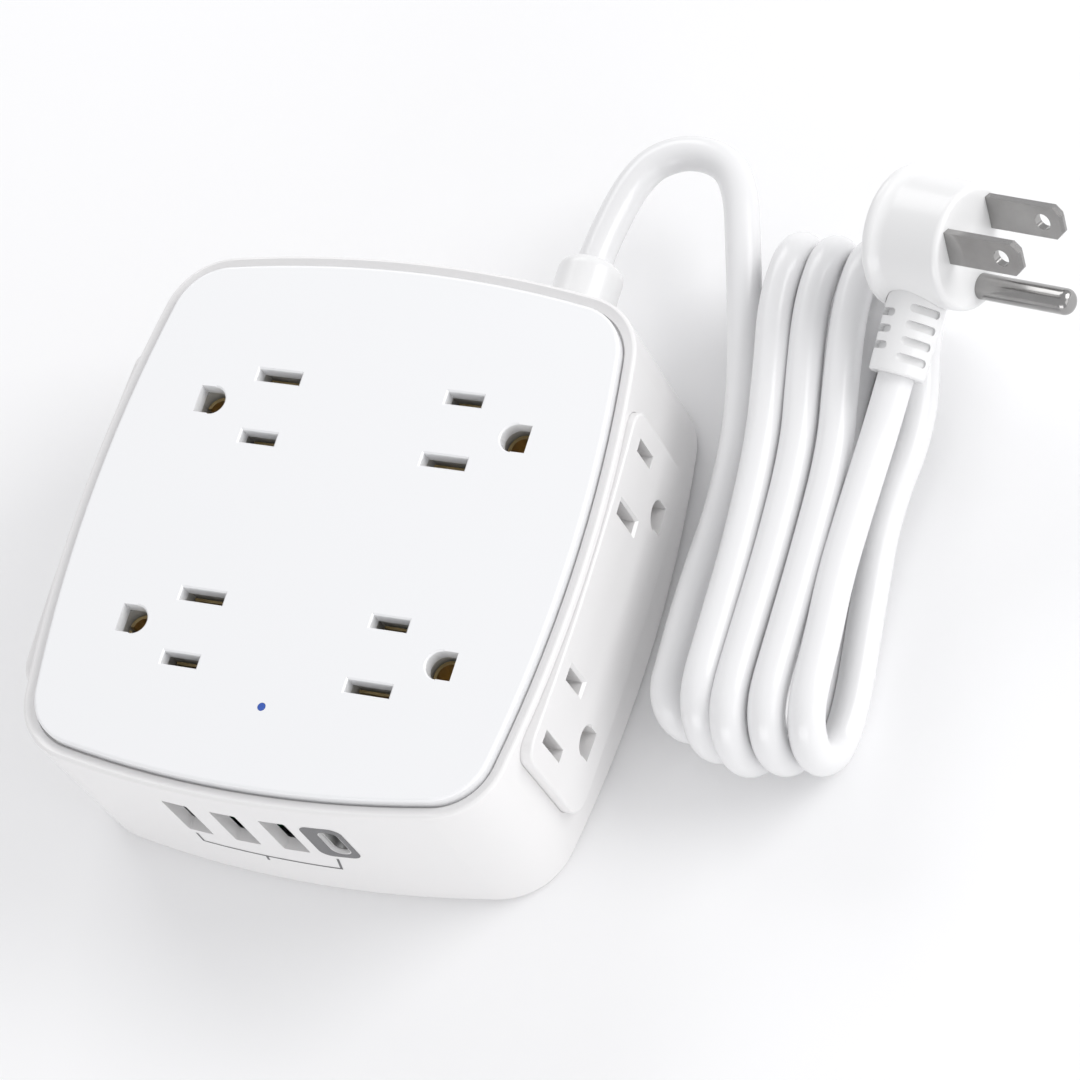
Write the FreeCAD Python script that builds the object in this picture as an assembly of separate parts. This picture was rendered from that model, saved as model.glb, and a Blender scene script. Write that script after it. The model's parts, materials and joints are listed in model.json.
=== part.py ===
import FreeCAD, Part
import math
import os

# Surge-protector power cube: a rounded block with four outlets on top, two on each side wall and
# four USB ports at the front, and a mains cord wound into a hank that ends in a flat plug.
# Millimetres. Origin: centre of the base. +Z up, -Y the USB wall, +Y the wall the cord leaves.

Vector = FreeCAD.Vector
X_AXIS, Y_AXIS, Z_AXIS = Vector(1, 0, 0), Vector(0, 1, 0), Vector(0, 0, 1)

# ---- driving sizes: body ----
body_width = 103.0
body_length = 109.6
body_height = 40.0
side_bow_radius = 265.0
end_bow_radius = 225.0
body_corner_radius = 13.5
wall = 2.4
base_edge_fillet = 2.0
rim_fillet = 0.7
rim_drop = 1.4
ledge_slope_drop = 0.7
piece_gap = 0.1

# ---- driving sizes: face plate ----
plate_inset = 2.8
plate_groove = 0.45
plate_thickness = 2.8
plate_edge_fillet = 0.6
plate_lip = 2.4

# ---- driving sizes: outlets ----
blade_pitch = 12.7
ground_offset = 12.05
long_slot = 8.9
short_slot = 7.3
slot_width = 2.5
slot_mouth_bevel = 0.3
ground_hole_radius = 2.75
ground_flat_offset = 2.8
outlet_pitch = 45.0
top_column_x = 19.0
top_row_centre = -1.25
side_row_centre = -2.6
side_slot_drop = 10.8

# ---- driving sizes: side panels ----
panel_length = 69.0
panel_height = 28.0
panel_top_drop = 3.0
panel_corner_radius = 4.0
panel_proud = 0.7
panel_bow_radius = 620.0
panel_edge_fillet = 0.5
panel_seat_depth = 1.2
panel_window_inset = 2.7

# ---- driving sizes: contacts ----
top_carrier_thickness = 10.0
side_carrier_thickness = 9.4
carrier_margin = 1.0
pocket_length = 9.3
pocket_width = 4.2
ground_pocket_radius = 3.7
leaf_thickness = 0.5
leaf_gap = 1.9
clip_drop = 2.2
bus_thickness = 0.8
bus_width = 3.0
bus_offset = 3.0
ground_tube_radius = 3.1
ground_tube_bore = 2.45

# ---- driving sizes: USB ----
usb_first_x = -15.3
usb_pitch = 9.95
usb_count = 3
usb_drop = 14.8
usb_opening_width = 5.3
usb_opening_height = 12.9
usb_shell_width = 5.9
usb_shell_height = 13.5
usb_shell_depth = 12.4
usb_shell_sheet = 0.35
usb_c_opening_width = 3.7
usb_c_opening_height = 9.6
usb_c_shell_width = 3.4
usb_c_shell_height = 9.2
usb_c_shell_depth = 8.0

# ---- driving sizes: base, screws and boards ----
base_thickness = 2.5
base_pad_height = 4.0
screw_x = 38.0
screw_y = 42.0
boss_radius = 4.0
screw_radius = 1.45
screw_pilot_radius = 1.5
screw_hole_radius = 1.8
screw_head_radius = 3.0
screw_head_height = 1.5
screw_head_recess = 0.4
screw_length = 16.0
board_thickness = 1.6
surge_board_z = 6.0
surge_board_half_x = 31.0
surge_board_y0, surge_board_y1 = -28.0, 30.0
usb_board_half_x = 24.0
usb_board_back_y = -33.5
post_radius = 2.5
led_y = -36.6
led_pipe_radius = 0.75

# ---- driving sizes: cord, gland and plug ----
cord_diameter = 6.7
cord_floor_gap = 0.1
gland_x = 25.4
gland_z = 20.0
gland_radius = 6.3
gland_end_y = 67.2
gland_end_fillet = 2.4
gland_flange_radius = 8.5
gland_flange_thickness = 2.4
cord_inner_end_y = 34.0
core_radius = 1.1
clamp_y = 37.6
clamp_depth = 6.0
clamp_half_width = 8.2
clamp_screw_offset = 6.0
clamp_screw_radius = 1.2
clamp_pilot_radius = 1.25
hank_height = 25.9

plug_axis_point = Vector(95.3, 72.4, 33.7)
plug_prong_direction = Vector(0.959, -0.186, 0.214)
plug_cord_direction = Vector(-0.115, -0.945, -0.305)
plug_flange_radius = 13.1
plug_body_radius = 11.9
plug_face_radius = 11.4
plug_flange_x = -5.7
plug_face_x = 8.8
plug_dome = 3.0
plug_blade_line = -4.1
plug_blade_width = 6.35
plug_blade_thickness = 1.5
plug_blade_length = 16.0
plug_blade_root = 7.6
plug_pin_radius = 2.38
plug_pin_offset = 11.9
plug_pin_length = 19.5
plug_blade_hole = 1.6
relief_root_radius = 5.45
relief_tip_radius = 5.1
relief_inner_y = 9.0
relief_tip_y = 25.0
relief_slot_rows = 4
relief_slot_pitch = 3.0
relief_slot_width = 1.5
relief_slot_span = 6.0
relief_notch_span = 5.0
relief_slot_turn = 120.0

cord_radius = cord_diameter / 2
floor_z = cord_radius + cord_floor_gap
usb_z = body_height - usb_drop
usb_c_x = usb_first_x + usb_pitch * usb_count


# ---- small helpers ----
def block(x0, x1, y0, y1, z0, z1):
    """An axis-aligned box between two corners."""
    return Part.makeBox(x1 - x0, y1 - y0, z1 - z0, Vector(x0, y0, z0))


def rod(start, direction, radius, length):
    """A cylinder from start along direction."""
    return Part.makeCylinder(radius, length, start, direction)


def fuse_all(shapes):
    """One shape from several that touch or overlap."""
    first, rest = shapes[0], shapes[1:]
    return first.fuse(rest).removeSplitter() if rest else first


def rounded_block(x0, x1, y0, y1, z0, z1, radius, along):
    """A box whose four edges that run along the given axis are rounded."""
    shape = block(x0, x1, y0, y1, z0, z1)
    edges = [e for e in shape.Edges if abs(e.tangentAt(e.FirstParameter).dot(along)) > 0.99]
    return shape.makeFillet(radius, edges)


def edges_at_z(shape, z):
    """The edges of a shape that lie wholly at one height."""
    return [e for e in shape.Edges
            if abs(e.BoundBox.ZMin - z) < 1e-4 and abs(e.BoundBox.ZMax - z) < 1e-4]


# ---- the bowed outline that the shell, the plate and the base share ----
def corner_centre():
    """Centre of the arc that joins a side's bow to an end's bow in the +X +Y corner."""
    ax, ra = body_width / 2 - side_bow_radius, side_bow_radius - body_corner_radius
    by, rb = body_length / 2 - end_bow_radius, end_bow_radius - body_corner_radius
    span = math.hypot(ax, by)
    along = (ra * ra - rb * rb + span * span) / (2 * span)
    across = math.sqrt(ra * ra - along * along)
    ux, uy = -ax / span, by / span
    candidates = [(ax + along * ux - s * across * uy, along * uy + s * across * ux) for s in (1, -1)]
    return max(candidates, key=lambda p: p[0] + p[1])


def bowed_wire(inset, z):
    """The outline of the body moved inwards by inset: four shallow bows and four corner arcs."""
    cx, cy = corner_centre()
    corner_r = body_corner_radius - inset
    half_x, half_y = body_width / 2 - inset, body_length / 2 - inset
    ax = body_width / 2 - side_bow_radius
    by = body_length / 2 - end_bow_radius
    to_side = Vector(cx - ax, cy, 0).normalize()
    to_end = Vector(cx, cy - by, 0).normalize()
    side_end = Vector(cx, cy, 0) + to_side * corner_r
    end_end = Vector(cx, cy, 0) + to_end * corner_r
    corner_mid = Vector(cx, cy, 0) + (to_side + to_end).normalize() * corner_r
    edges = []
    for sx, sy in ((1, 1), (-1, 1), (-1, -1), (1, -1)):
        def place(p):
            return Vector(sx * p.x, sy * p.y, z)
        edges.append(Part.Arc(place(side_end), place(corner_mid), place(end_end)).toShape())
    for sx in (1, -1):
        edges.append(Part.Arc(Vector(sx * side_end.x, -side_end.y, z), Vector(sx * half_x, 0, z),
                              Vector(sx * side_end.x, side_end.y, z)).toShape())
    for sy in (1, -1):
        edges.append(Part.Arc(Vector(-end_end.x, sy * end_end.y, z), Vector(0, sy * half_y, z),
                              Vector(end_end.x, sy * end_end.y, z)).toShape())
    return Part.Wire(Part.__sortEdges__(edges))


def bowed_prism(inset, z0, z1):
    """The bowed outline carried from z0 to z1."""
    return Part.Face(bowed_wire(inset, z0)).extrude(Vector(0, 0, z1 - z0))


# ---- outlet frames: local X points to the ground hole, +Y to the short slot, +Z out of the face ----
def outlet_placement(origin, normal, to_ground):
    """Placement that carries an outlet's local frame to the body."""
    across = normal.cross(to_ground)
    matrix = FreeCAD.Matrix(to_ground.x, across.x, normal.x, origin.x,
                            to_ground.y, across.y, normal.y, origin.y,
                            to_ground.z, across.z, normal.z, origin.z, 0, 0, 0, 1)
    return FreeCAD.Placement(matrix)


panel_x = body_width / 2 + panel_proud
side_face_x = panel_x - (outlet_pitch / 2) ** 2 / (2 * panel_bow_radius)
side_slot_z = body_height - side_slot_drop
row_low, row_high = -outlet_pitch / 2, outlet_pitch / 2

# Each column holds two outlets, at local Y of 0 and of outlet_pitch.
column_frames = {
    "top_left": outlet_placement(Vector(-top_column_x, top_row_centre + row_high, body_height),
                                 Z_AXIS, -X_AXIS),
    "top_right": outlet_placement(Vector(top_column_x, top_row_centre + row_low, body_height),
                                  Z_AXIS, X_AXIS),
    "side_left": outlet_placement(Vector(-side_face_x, side_row_centre + row_high, side_slot_z),
                                  -X_AXIS, -Z_AXIS),
    "side_right": outlet_placement(Vector(side_face_x, side_row_centre + row_low, side_slot_z),
                                   X_AXIS, -Z_AXIS),
}
top_carrier_start = plate_thickness + 2 * piece_gap
side_carrier_start = 5.5
column_depths = {
    "top_left": (top_carrier_start, top_carrier_thickness),
    "top_right": (top_carrier_start, top_carrier_thickness),
    "side_left": (side_carrier_start, side_carrier_thickness),
    "side_right": (side_carrier_start, side_carrier_thickness),
}


def slot_cutter(length, y, depth):
    """A blade slot with a bevelled mouth."""
    half_l, half_w, bevel = length / 2, slot_width / 2, slot_mouth_bevel
    shaft = block(-half_l, half_l, y - half_w, y + half_w, -depth, 1.0)
    inner = Part.makePolygon([Vector(sx * half_l, y + sy * half_w, -bevel) for sx, sy in
                              ((1, 1), (-1, 1), (-1, -1), (1, -1), (1, 1))])
    outer = Part.makePolygon([Vector(sx * (half_l + 2 * bevel), y + sy * (half_w + 2 * bevel), bevel)
                              for sx, sy in ((1, 1), (-1, 1), (-1, -1), (1, -1), (1, 1))])
    return shaft.fuse(Part.makeLoft([inner, outer], True, True))


def ground_cutter(depth):
    """A ground-pin hole: round towards the slots, flat on its far side."""
    r, flat = ground_hole_radius, ground_flat_offset
    hole = Part.makeCylinder(r, depth + 1, Vector(ground_offset, 0, -depth))
    square = block(ground_offset, ground_offset + flat, -r, r, -depth, 1.0)
    mouth = Part.makeCone(r, r + 2 * slot_mouth_bevel, 2 * slot_mouth_bevel,
                          Vector(ground_offset, 0, -slot_mouth_bevel))
    near_half = block(ground_offset - 2 * r, ground_offset, -2 * r, 2 * r, -1, 1)
    return hole.fuse([square, mouth.common(near_half)])


def outlet_cutters(depth):
    """Every opening of a column's two outlets, in the column's local frame."""
    cutters = []
    for y in (0, outlet_pitch):
        shapes = [slot_cutter(long_slot, -blade_pitch / 2, depth),
                  slot_cutter(short_slot, blade_pitch / 2, depth), ground_cutter(depth)]
        for shape in shapes:
            shape.translate(Vector(0, y, 0))
            cutters.append(shape)
    return cutters


def cut_column(shape, column, depth):
    """Cut the outlets of one column through a shape."""
    cutters = outlet_cutters(depth)
    for cutter in cutters:
        cutter.Placement = column_frames[column].multiply(cutter.Placement)
    return shape.cut(cutters)


# ---- housing ----
panel_inner_x = body_width / 2 - panel_length ** 2 / (8 * side_bow_radius) - wall


def panel_block(x0, x1, inset):
    """A block through the right wall with the panel's outline moved inwards by inset."""
    z1 = body_height - panel_top_drop - inset
    z0 = body_height - panel_top_drop - panel_height + inset
    half = panel_length / 2 - inset
    return rounded_block(x0, x1, side_row_centre - half, side_row_centre + half, z0, z1,
                         panel_corner_radius - inset, X_AXIS)


def to_side(shape, sign):
    """The shape itself for the right side, or its mirror image for the left."""
    return shape if sign > 0 else shape.mirror(Vector(0, 0, 0), X_AXIS)


def make_side_panel(sign):
    """The raised outlet panel of a side wall: a plate seated in the wall and a boss through it."""
    plate = panel_block(panel_inner_x, panel_x + 1, 0)
    bow = rod(Vector(panel_x - panel_bow_radius, side_row_centre, 0), Z_AXIS, panel_bow_radius,
              body_height)
    plate = plate.common(bow)
    face = max(plate.Faces, key=lambda f: f.CenterOfMass.x)
    plate = plate.makeFillet(panel_edge_fillet, face.Edges)
    plate = plate.cut(bowed_prism(panel_seat_depth, -1, body_height + 1))
    boss = panel_block(panel_inner_x, body_width / 2 - panel_seat_depth + piece_gap,
                       panel_window_inset)
    panel = to_side(fuse_all([plate, boss]), sign)
    depth = side_face_x - panel_inner_x + 1
    return cut_column(panel, "side_right" if sign > 0 else "side_left", depth)


def panel_cutters(sign):
    """The seat and the window that a side panel needs in the wall."""
    seat = panel_block(panel_inner_x - 1, panel_x + 2, -piece_gap)
    seat = seat.cut(bowed_prism(panel_seat_depth + piece_gap, -1, body_height + 1))
    window = panel_block(panel_inner_x - 2, panel_x + 2, panel_window_inset - piece_gap)
    return [to_side(seat, sign), to_side(window, sign)]


def shell_outside():
    """The outside of the shell as a solid block, with its rim and edges."""
    top = body_height - rim_drop
    outside = bowed_prism(0, 0, top)
    outside = outside.makeFillet(rim_fillet, edges_at_z(outside, top))
    return outside.makeFillet(base_edge_fillet, edges_at_z(outside, 0))


plate_bottom = body_height - plate_thickness
deck_bottom = plate_bottom - piece_gap - wall
ledge_inner_inset = plate_inset - plate_groove


def shell_hollow():
    """What is taken out of the shell: its inside, the plate's seat and the sloped ledge."""
    top = body_height - rim_drop
    inside = bowed_prism(wall, -1, deck_bottom)
    opening = bowed_prism(plate_inset + plate_lip, deck_bottom - 1, body_height)
    seat = bowed_prism(ledge_inner_inset, plate_bottom - piece_gap, body_height)
    slope = Part.makeLoft([bowed_wire(rim_fillet, top),
                           bowed_wire(ledge_inner_inset, top - ledge_slope_drop)], True, True)
    return [inside, opening, seat, slope]


def wall_y(x):
    """How far from the centre line the front and back walls' outer faces stand at x."""
    return body_length / 2 - x * x / (2 * end_bow_radius)


def usb_cutters():
    """The openings of the front wall."""
    y0, y1 = -body_length / 2 - 1, -body_length / 2 + wall + 3
    half_w, half_h = usb_opening_width / 2, usb_opening_height / 2
    cutters = []
    for index in range(usb_count):
        x = usb_first_x + usb_pitch * index
        cutters.append(rounded_block(x - half_w, x + half_w, y0, y1, usb_z - half_h, usb_z + half_h,
                                     0.4, Y_AXIS))
    half_w, half_h = usb_c_opening_width / 2, usb_c_opening_height / 2
    cutters.append(rounded_block(usb_c_x - half_w, usb_c_x + half_w, y0, y1, usb_z - half_h,
                                 usb_z + half_h, half_w - 0.05, Y_AXIS))
    return cutters


def screw_places():
    """The four places where base screws stand."""
    return [(sx * screw_x, sy * screw_y) for sx in (1, -1) for sy in (1, -1)]


def gland_pad():
    """The flat boss inside the back wall that the gland's flange pulls against."""
    inner_y = gland_flange_y + gland_flange_thickness + piece_gap
    return rod(Vector(gland_x, inner_y, gland_z), Y_AXIS, gland_flange_radius,
               wall_y(gland_x + gland_flange_radius) - wall / 2 - inner_y)


gland_flange_y = wall_y(gland_x + gland_flange_radius) - 3 * wall


def clamp_cradle():
    """The rib from the back wall that the cord is clamped against."""
    x0, x1 = gland_x - clamp_half_width, gland_x + clamp_half_width
    rib = block(x0, x1, clamp_y, clamp_y + clamp_depth, gland_z + piece_gap, deck_bottom)
    arm = block(x0, x1, clamp_y, wall_y(x1) - wall / 2, gland_z + gland_flange_radius + 0.6, deck_bottom)
    cradle = fuse_all([rib, arm])
    cradle = cradle.cut(rod(Vector(gland_x, clamp_y - 1, gland_z), Y_AXIS, cord_radius + piece_gap,
                            clamp_depth + 2))
    for sign in (1, -1):
        pilot = rod(Vector(gland_x + sign * clamp_screw_offset, clamp_y + clamp_depth / 2, gland_z - 1),
                    Z_AXIS, clamp_pilot_radius, 12)
        cradle = cradle.cut(pilot)
    return cradle


def make_upper_shell():
    """Walls, rim, USB wall, gland hole and screw bosses in one moulding."""
    shell = shell_outside().cut(shell_hollow())
    bosses = []
    for x, y in screw_places():
        boss = rod(Vector(x, y, base_pad_height + piece_gap), Z_AXIS, boss_radius,
                   deck_bottom + wall / 2 - base_pad_height - piece_gap)
        bosses.append(boss)
    shell = fuse_all([shell] + bosses + [gland_pad(), clamp_cradle()])
    pilots = [rod(Vector(x, y, 0), Z_AXIS, screw_pilot_radius, screw_length + 3)
              for x, y in screw_places()]
    gland_hole = rod(Vector(gland_x, gland_flange_y, gland_z), Y_AXIS, gland_radius + piece_gap, 30)
    return shell.cut(pilots + usb_cutters() + [gland_hole] + panel_cutters(1) + panel_cutters(-1))


def make_face_plate():
    """The plate with the four top outlets and the hole for the status light."""
    plate = bowed_prism(plate_inset, plate_bottom, body_height)
    plate = plate.makeFillet(plate_edge_fillet, edges_at_z(plate, body_height))
    plate = cut_column(plate, "top_left", plate_thickness + 1)
    plate = cut_column(plate, "top_right", plate_thickness + 1)
    return plate.cut(rod(Vector(0, led_y, 0), Z_AXIS, led_pipe_radius + 0.05, body_height + 1))


def make_base_cover():
    """The flat cover that closes the bottom, with screw pads and board posts."""
    base = bowed_prism(wall + piece_gap, 0, base_thickness)
    base = base.makeChamfer(0.3, edges_at_z(base, 0))
    extras = [rod(Vector(x, y, base_thickness - 0.5), Z_AXIS, boss_radius,
                  base_pad_height - base_thickness + 0.5) for x, y in screw_places()]
    for x in (-surge_board_half_x + 4, surge_board_half_x - 4):
        for y in (surge_board_y0 + 4, surge_board_y1 - 4):
            extras.append(rod(Vector(x, y, base_thickness - 0.5), Z_AXIS, post_radius,
                              surge_board_z - base_thickness + 0.5))
    for x in (-usb_board_half_x + 4, usb_board_half_x - 4):
        extras.append(rod(Vector(x, usb_board_back_y - 5, base_thickness - 0.5), Z_AXIS, post_radius,
                          usb_board_z - base_thickness + 0.5))
    base = fuse_all([base] + extras)
    holes = []
    for x, y in screw_places():
        holes.append(rod(Vector(x, y, -1), Z_AXIS, screw_hole_radius, base_pad_height + 2))
        holes.append(rod(Vector(x, y, -1), Z_AXIS, screw_head_radius + 0.3,
                         screw_head_recess + screw_head_height + 1))
    return base.cut(holes)


def screw(head_radius, head_height, radius, length, up):
    """A pan-head screw with a cross recess, its head's underside at the origin."""
    head = Part.makeCylinder(head_radius, head_height, Vector(0, 0, -head_height))
    head = head.makeFillet(head_height * 0.35, edges_at_z(head, -head_height))
    shaft = Part.makeCylinder(radius, length - radius, Vector(0, 0, 0))
    tip = Part.makeCone(radius, radius * 0.3, radius, Vector(0, 0, length - radius))
    body = fuse_all([head, shaft, tip])
    arm, deep = head_radius * 0.6, head_height * 0.55
    cross = block(-arm, arm, -0.35, 0.35, -head_height - 1, -head_height + deep)
    body = body.cut([cross, block(-0.35, 0.35, -arm, arm, -head_height - 1, -head_height + deep)])
    if not up:
        body.rotate(Vector(0, 0, 0), X_AXIS, 180)
    return body


def make_base_screws():
    """The four screws that hold the base cover, in one group."""
    group = []
    for x, y in screw_places():
        piece = screw(screw_head_radius, screw_head_height, screw_radius, screw_length, True)
        piece.translate(Vector(x, y, screw_head_recess + screw_head_height))
        group.append(piece)
    return Part.makeCompound(group)


# ---- contacts ----
def make_carrier(column_names, half_extent):
    """A moulded carrier with a pocket behind every slot and ground hole of its columns."""
    carrier = half_extent
    cutters = []
    for column in column_names:
        start, thickness = column_depths[column]
        for y in (0, outlet_pitch):
            for side in (-1, 1):
                centre = y + side * blade_pitch / 2
                cutters.append(block(-pocket_length / 2, pocket_length / 2, centre - pocket_width / 2,
                                     centre + pocket_width / 2, -start - thickness - 1, -start + 1))
            cutters.append(Part.makeCylinder(ground_pocket_radius, thickness + 2,
                                             Vector(ground_offset, y, -start - thickness - 1)))
        for cutter in cutters[-6:]:
            cutter.Placement = column_frames[column].multiply(cutter.Placement)
    return carrier.cut(cutters)


def make_top_carrier():
    """The carrier under the face plate, for all four top outlets."""
    reach_x = top_column_x + ground_offset + ground_pocket_radius + carrier_margin
    reach_y = outlet_pitch / 2 + blade_pitch / 2 + pocket_width / 2 + carrier_margin
    z1 = body_height - top_carrier_start
    body = rounded_block(-reach_x, reach_x, top_row_centre - reach_y, top_row_centre + reach_y,
                         z1 - top_carrier_thickness, z1, 3.0, Z_AXIS)
    return make_carrier(["top_left", "top_right"], body)


def make_side_carrier(sign):
    """The carrier behind one side wall's two outlets."""
    reach_y = outlet_pitch / 2 + blade_pitch / 2 + pocket_width / 2 + carrier_margin
    x1 = side_face_x - side_carrier_start
    x0 = x1 - side_carrier_thickness
    z1 = min(side_slot_z + pocket_length / 2 + carrier_margin, deck_bottom - piece_gap)
    z0 = side_slot_z - ground_offset - ground_pocket_radius - carrier_margin
    body = rounded_block(x0, x1, side_row_centre - reach_y, side_row_centre + reach_y, z0, z1,
                         2.0, X_AXIS)
    if sign < 0:
        body = body.mirror(Vector(0, 0, 0), X_AXIS)
    return make_carrier(["side_left" if sign < 0 else "side_right"], body)


def blade_clip(y, leaf_width, stem_x, top, bottom):
    """Two spring leaves that grip a blade, joined at their foot, with a stem to the bus strip."""
    inner, outer = leaf_gap / 2, leaf_gap / 2 + leaf_thickness
    half = leaf_width / 2
    foot = bottom + 0.4
    return [block(-half, half, y + inner, y + outer, foot, top),
            block(-half, half, y - outer, y - inner, foot, top),
            block(-half, half, y - outer, y + outer, foot, foot + leaf_thickness),
            block(stem_x - bus_width / 2, stem_x + bus_width / 2, y - outer, y + outer,
                  bottom - piece_gap - bus_thickness, foot + leaf_thickness / 2)]


def make_blade_bus(column, side):
    """The hot (side 1) or neutral (side -1) strip of a column, with a clip at each outlet."""
    start, thickness = column_depths[column]
    top, bottom = -start - clip_drop, -start - thickness
    y0 = side * blade_pitch / 2
    stem_x = side * bus_offset
    leaf_width = (short_slot if side > 0 else long_slot) - 0.5
    pieces = [block(stem_x - bus_width / 2, stem_x + bus_width / 2, y0 - 2, y0 + outlet_pitch + 2,
                    bottom - piece_gap - bus_thickness, bottom - piece_gap)]
    for y in (y0, y0 + outlet_pitch):
        pieces += blade_clip(y, leaf_width, stem_x, top, bottom)
    bus = fuse_all(pieces)
    bus.Placement = column_frames[column]
    return bus


def make_ground_bus(column):
    """The ground strip of a column, with a split tube at each outlet."""
    start, thickness = column_depths[column]
    top, bottom = -start - clip_drop, -start - thickness
    under = bottom - piece_gap - bus_thickness
    pieces = [block(ground_offset - bus_width / 2, ground_offset + bus_width / 2, -3,
                    outlet_pitch + 3, under, bottom - piece_gap)]
    for y in (0, outlet_pitch):
        tube = Part.makeCylinder(ground_tube_radius, top - under, Vector(ground_offset, y, under))
        bore = Part.makeCylinder(ground_tube_bore, top - bottom, Vector(ground_offset, y, bottom))
        slit = block(ground_offset, ground_offset + 5, y - 0.4, y + 0.4, bottom + 1, top + 1)
        pieces.append(tube.cut([bore, slit]))
    bus = fuse_all(pieces)
    bus.Placement = column_frames[column]
    return bus


# ---- USB ports ----
usb_shell_front = -(wall_y(usb_c_x) - wall) + piece_gap + 0.4
usb_shell_back = usb_shell_front + usb_shell_depth
usb_board_z = usb_z - usb_shell_height / 2 - board_thickness - piece_gap


def make_usb_a_shell(index):
    """The folded metal shell of one USB-A socket, open at the front."""
    x = usb_first_x + usb_pitch * index
    half_w, half_h = usb_shell_width / 2, usb_shell_height / 2
    sheet = usb_shell_sheet
    outer = rounded_block(x - half_w, x + half_w, usb_shell_front, usb_shell_back, usb_z - half_h,
                          usb_z + half_h, 0.5, Y_AXIS)
    inner = block(x - half_w + sheet, x + half_w - sheet, usb_shell_front - 1, usb_shell_back - sheet,
                  usb_z - half_h + sheet, usb_z + half_h - sheet)
    return outer.cut(inner)


def make_usb_a_tongue(index):
    """The insulating tongue of one USB-A socket, on a block at the back of its shell."""
    x = usb_first_x + usb_pitch * index
    half_w = usb_shell_width / 2 - usb_shell_sheet - 0.05
    half_h = usb_shell_height / 2 - usb_shell_sheet - 0.05
    back = block(x - half_w, x + half_w, usb_shell_back - 3.2, usb_shell_back - usb_shell_sheet - 0.05,
                 usb_z - half_h, usb_z + half_h)
    tongue = rounded_block(x - half_w + 0.5, x - half_w + 2.4, usb_shell_front + 0.8,
                           usb_shell_back - 3, usb_z - half_h + 0.6, usb_z + half_h - 0.6, 0.3, Y_AXIS)
    return fuse_all([back, tongue])


def make_usb_c_shell():
    """The metal shell of the USB-C socket."""
    half_w, half_h = usb_c_shell_width / 2, usb_c_shell_height / 2
    front = -wall_y(usb_c_x) + 0.6
    outer = rounded_block(usb_c_x - half_w, usb_c_x + half_w, front, front + usb_c_shell_depth,
                          usb_z - half_h, usb_z + half_h, half_w - 0.05, Y_AXIS)
    sheet = usb_shell_sheet
    inner = rounded_block(usb_c_x - half_w + sheet, usb_c_x + half_w - sheet, front - 1,
                          front + usb_c_shell_depth - 2, usb_z - half_h + sheet,
                          usb_z + half_h - sheet, half_w - sheet - 0.05, Y_AXIS)
    return outer.cut(inner)


def make_usb_c_tongue():
    """The thin centre tongue of the USB-C socket."""
    front = -wall_y(usb_c_x) + 0.6
    return rounded_block(usb_c_x - 0.35, usb_c_x + 0.35, front + 1.0, front + usb_c_shell_depth - 2,
                         usb_z - 3.3, usb_z + 3.3, 0.2, Y_AXIS)


def make_usb_board():
    """The charger board that carries the USB sockets."""
    front = -wall_y(usb_board_half_x) + wall + 1
    return block(-usb_board_half_x, usb_board_half_x, front, usb_board_back_y, usb_board_z,
                 usb_board_z + board_thickness)


def make_usb_c_block():
    """The moulded block that stands the USB-C socket off the charger board."""
    front = -wall_y(usb_c_x) + wall + 1.5
    top = usb_z - usb_c_shell_height / 2
    return block(usb_c_x - 2.2, usb_c_x + 2.2, front, front + usb_c_shell_depth - 3.4,
                 usb_board_z + board_thickness, top)


# ---- boards and components ----
def make_surge_board():
    """The board that carries the surge parts and the charger's power stage."""
    return block(-surge_board_half_x, surge_board_half_x, surge_board_y0, surge_board_y1,
                 surge_board_z, surge_board_z + board_thickness)


component_z = surge_board_z + board_thickness


def make_varistor(x, y):
    """A round coated disc that stands on two leads."""
    radius, thick, lead = 7.0, 4.2, 3.0
    disc = rod(Vector(x - thick / 2, y, component_z + lead + radius - 1), X_AXIS, radius, thick)
    disc = disc.makeFillet(1.4, [e for e in disc.Edges if e.Curve.TypeId == "Part::GeomCircle"])
    leads = [rod(Vector(x, y + s * 3.75, component_z), Z_AXIS, 0.4, lead + 2.5) for s in (1, -1)]
    return fuse_all([disc] + leads)


def make_thermal_fuse():
    """A small axial fuse that lies across the varistors' side of the board."""
    z = component_z + 2.0
    body = rod(Vector(4, 22, z), X_AXIS, 1.9, 11)
    leads = [rod(Vector(-1, 22, z), X_AXIS, 0.4, 6), rod(Vector(14, 22, z), X_AXIS, 0.4, 6)]
    feet = [rod(Vector(-0.6, 22, component_z), Z_AXIS, 0.4, 2.4),
            rod(Vector(19.6, 22, component_z), Z_AXIS, 0.4, 2.4)]
    return fuse_all([body] + leads + feet)


def make_film_capacitor():
    """The boxed suppression capacitor."""
    return rounded_block(-8, 10, 6, 13, component_z, component_z + 12, 0.6, Z_AXIS)


def make_transformer():
    """The charger's small wound transformer: a ferrite core around a bobbin."""
    x, y, z = -15.0, -15.0, component_z
    core = block(x - 8, x + 8, y - 3, y + 3, z, z + 13)
    window = block(x - 6, x + 6, y - 4, y + 4, z + 2, z + 11)
    winding = rounded_block(x - 5.6, x + 5.6, y - 6.5, y + 6.5, z + 2, z + 11, 1.5, Z_AXIS)
    return fuse_all([core.cut(window), winding])


def make_electrolytic(index):
    """One of the charger's round capacitors, standing on the board."""
    x = 4.0 + index * 12.0
    can = Part.makeCylinder(4.8, 14, Vector(x, -16, component_z))
    return can.makeFillet(0.7, edges_at_z(can, component_z + 14))


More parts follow.
